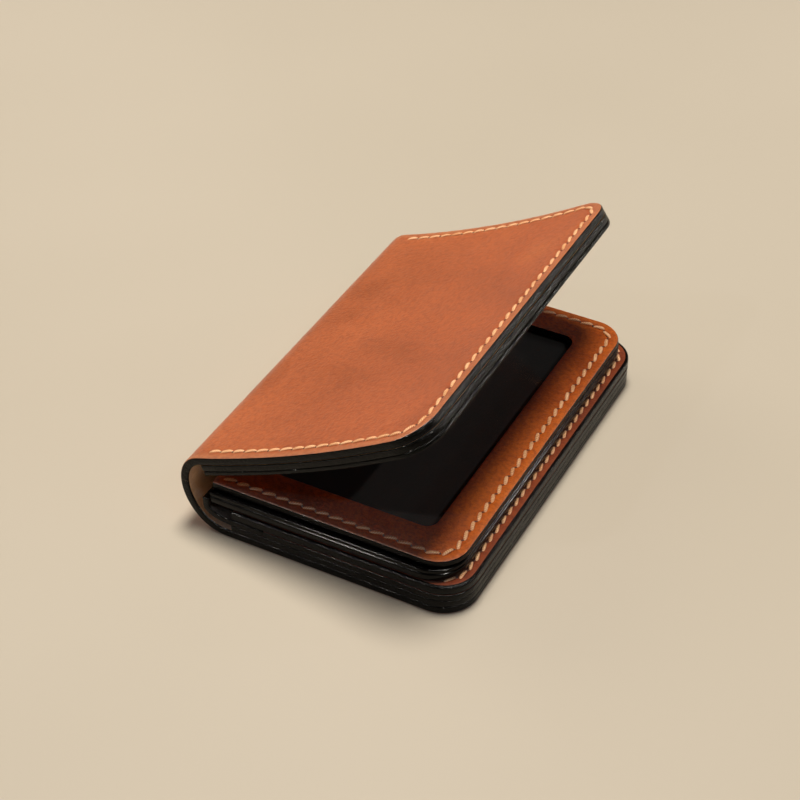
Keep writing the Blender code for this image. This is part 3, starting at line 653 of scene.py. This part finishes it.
def modelHole():
    deselectAll()
    bpy.ops.mesh.primitive_uv_sphere_add(segments=10, ring_count=4, radius=0.5)
    item = bpy.context.object
    for vert in item.data.vertices:
        vert.co.x *= hole["long"]
        vert.co.y *= hole["wide"]
        vert.co.z *= hole["high"]
    item.data.materials.append(linenThread)
    item.data.materials.append(holeShade)
    for face in item.data.polygons:
        face.material_index = 1
    return item


def rowLine(free, spine, near, far, corner):
    # path of the thread round three sides of a sheet
    margin = wallet["stitchMargin"]
    r = corner - margin
    points = [Vector((spine, near + margin))]
    for index in range(25):
        angle = math.radians(270 - 90 * index / 24)
        points.append(Vector((free + corner + r * math.cos(angle), near + corner + r * math.sin(angle))))
    for index in range(25):
        angle = math.radians(180 - 90 * index / 24)
        points.append(Vector((free + corner + r * math.cos(angle), far - corner + r * math.sin(angle))))
    points.append(Vector((spine, far - margin)))
    return points


def copyAlong(model, line, out, depth, slant, place, holes):
    lengths = runningLengths(line)
    count = round(lengths[-1] / wallet["pitch"])
    step = lengths[-1] / count
    copies = []
    for index in range(count + (1 if holes else 0)):
        centre, way = alongLine(line, lengths, step * (index + (0.0 if holes else 0.5)))
        turn = math.atan2(way.y, way.x) + math.radians(slant)
        c, s = math.cos(turn), math.sin(turn)
        copy = bpy.data.objects.new("stitchCopy", model.data.copy())
        bpy.context.collection.objects.link(copy)
        # each stitch is a touch longer or fuller than the next
        vary = 1.0 + 0.05 * math.sin(index * 2.4 + slant)
        for vert in copy.data.vertices:
            x, y, z = vert.co
            vert.co = place(centre.x + c * x * vary - s * y, centre.y + s * x * vary + c * y,
                            depth + out * z * (2.0 - vary))
        copies.append(copy)
    return copies


stitchModel = modelStitch()
holeModel = modelHole()
coverRow = rowLine(0.0, 64.6 * mm, 0.0, wallet["length"], 9.0 * mm)
lowerRow = rowLine(0.0, 60.1 * mm, 0.0, wallet["length"], 9.0 * mm)
flapRow = rowLine(2.9 * mm, 66.1 * mm, 1.9 * mm, wallet["length"] - 1.9 * mm, 8.0 * mm)
# name, CAD node, body, bend, path, and for each side: which way out, depth of the surface, slant in degrees
rows = (
    ("upperStitching", "upper_stitching", "upper", onUpper, coverRow,
     ((-1, 0.0, -13.0), (1, 5.2 * mm, -16.0))),
    ("lowerStitching", "lower_stitching", "base", onLower, lowerRow,
     ((-1, 0.0, -13.0), (1, 8.5 * mm, -17.0))),
    ("flapStitching", "flap_stitching", "flap", onFlat, flapRow,
     ((-1, 8.8 * mm, -16.0), (1, 14.3 * mm, -17.0))),
)
for name, node, body, place, line, faces in rows:
    copies = []
    for out, depth, slant in faces:
        flush = name == "lowerStitching" and out < 0     # the underside stays flat on the table
        sink = stitch["flushSink"] if flush else 0.0
        holeSink = hole["flushSink"] if flush else hole["sink"]
        copies += copyAlong(stitchModel, line, out, depth - out * sink, slant, place, False)
        copies += copyAlong(holeModel, line, out, depth - out * holeSink, slant, place, True)
    deselectAll()
    for copy in copies:
        copy.select_set(True)
    bpy.context.view_layer.objects.active = copies[0]
    bpy.ops.object.join()
    row = bpy.context.object
    row.name = row.data.name = name
    bpy.ops.object.mode_set(mode="EDIT")
    bpy.ops.mesh.select_all(action="SELECT")
    bpy.ops.mesh.normals_make_consistent(inside=False)
    bpy.ops.object.mode_set(mode="OBJECT")
    bpy.ops.object.shade_smooth()
    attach(row, body)
    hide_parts(node)
bpy.data.objects.remove(stitchModel)
bpy.data.objects.remove(holeModel)
print("stitching made")


deselectAll()
bpy.ops.mesh.primitive_plane_add(size=6.0)
floor = bpy.context.object
floor.name = "floor"
floor.data.materials.append(flatMaterial("palePaper", ("#C2B6A2", "#CBBFAC"), 333.33 * mm))


def addLight(name, spot, aim, size, watts, code):
    light = bpy.data.lights.new(name, "AREA")
    light.shape = "DISK"
    light.size = size
    light.energy = watts
    light.color = hexColour(code)[:3]
    item = bpy.data.objects.new(name, light)
    item.location = spot
    item.rotation_euler = (Vector(aim) - Vector(spot)).to_track_quat("-Z", "Y").to_euler()
    bpy.context.collection.objects.link(item)
    return item


addLight("overheadSoftbox", (-0.04, 0.14, 1.25), (0.0, 0.0, 0.0), 0.46, 16.4, "#FFFAF2")
addLight("leftFill", (-0.8, 0.08, 0.8), (0.0, 0.0, 0.0), 0.6, 1.4, "#FFF6EA")
# bare bulbs that only show as glints in the paint and wax
for name, spot, watts in (("nearGlint", (-0.43, -0.68, 0.82), 17.0), ("rightGlint", (0.6, -0.28, 0.8), 13.0),
                          ("farGlint", (0.78, 0.72, 0.3), 6.0)):
    addLight(name, spot, (0.0, 0.0, 0.02), 0.02, watts, "#FFF8F0").visible_diffuse = False
world = bpy.data.worlds.new("softRoom")
bpy.context.scene.world = world
world.use_nodes = True
world.node_tree.nodes["Background"].inputs["Color"].default_value = hexColour("#FFFAF4")
world.node_tree.nodes["Background"].inputs["Strength"].default_value = 0.065

cameraLook = {"spot": (0.1661, -0.3275, 0.3105), "aim": (-0.0129, 0.0127, 0.0), "lens": 84.04}
lens = bpy.data.cameras.new("camera")
lens.lens = cameraLook["lens"]
lens.sensor_width = 36.0
lens.clip_start = 0.01
camera = bpy.data.objects.new("camera", lens)
camera.location = cameraLook["spot"]
aimLine = Vector(cameraLook["aim"]) - Vector(cameraLook["spot"])
camera.rotation_euler = aimLine.to_track_quat("-Z", "Y").to_euler()
bpy.context.collection.objects.link(camera)
bpy.context.scene.camera = camera
bpy.context.scene.view_settings.view_transform = "Standard"
print("stage set")
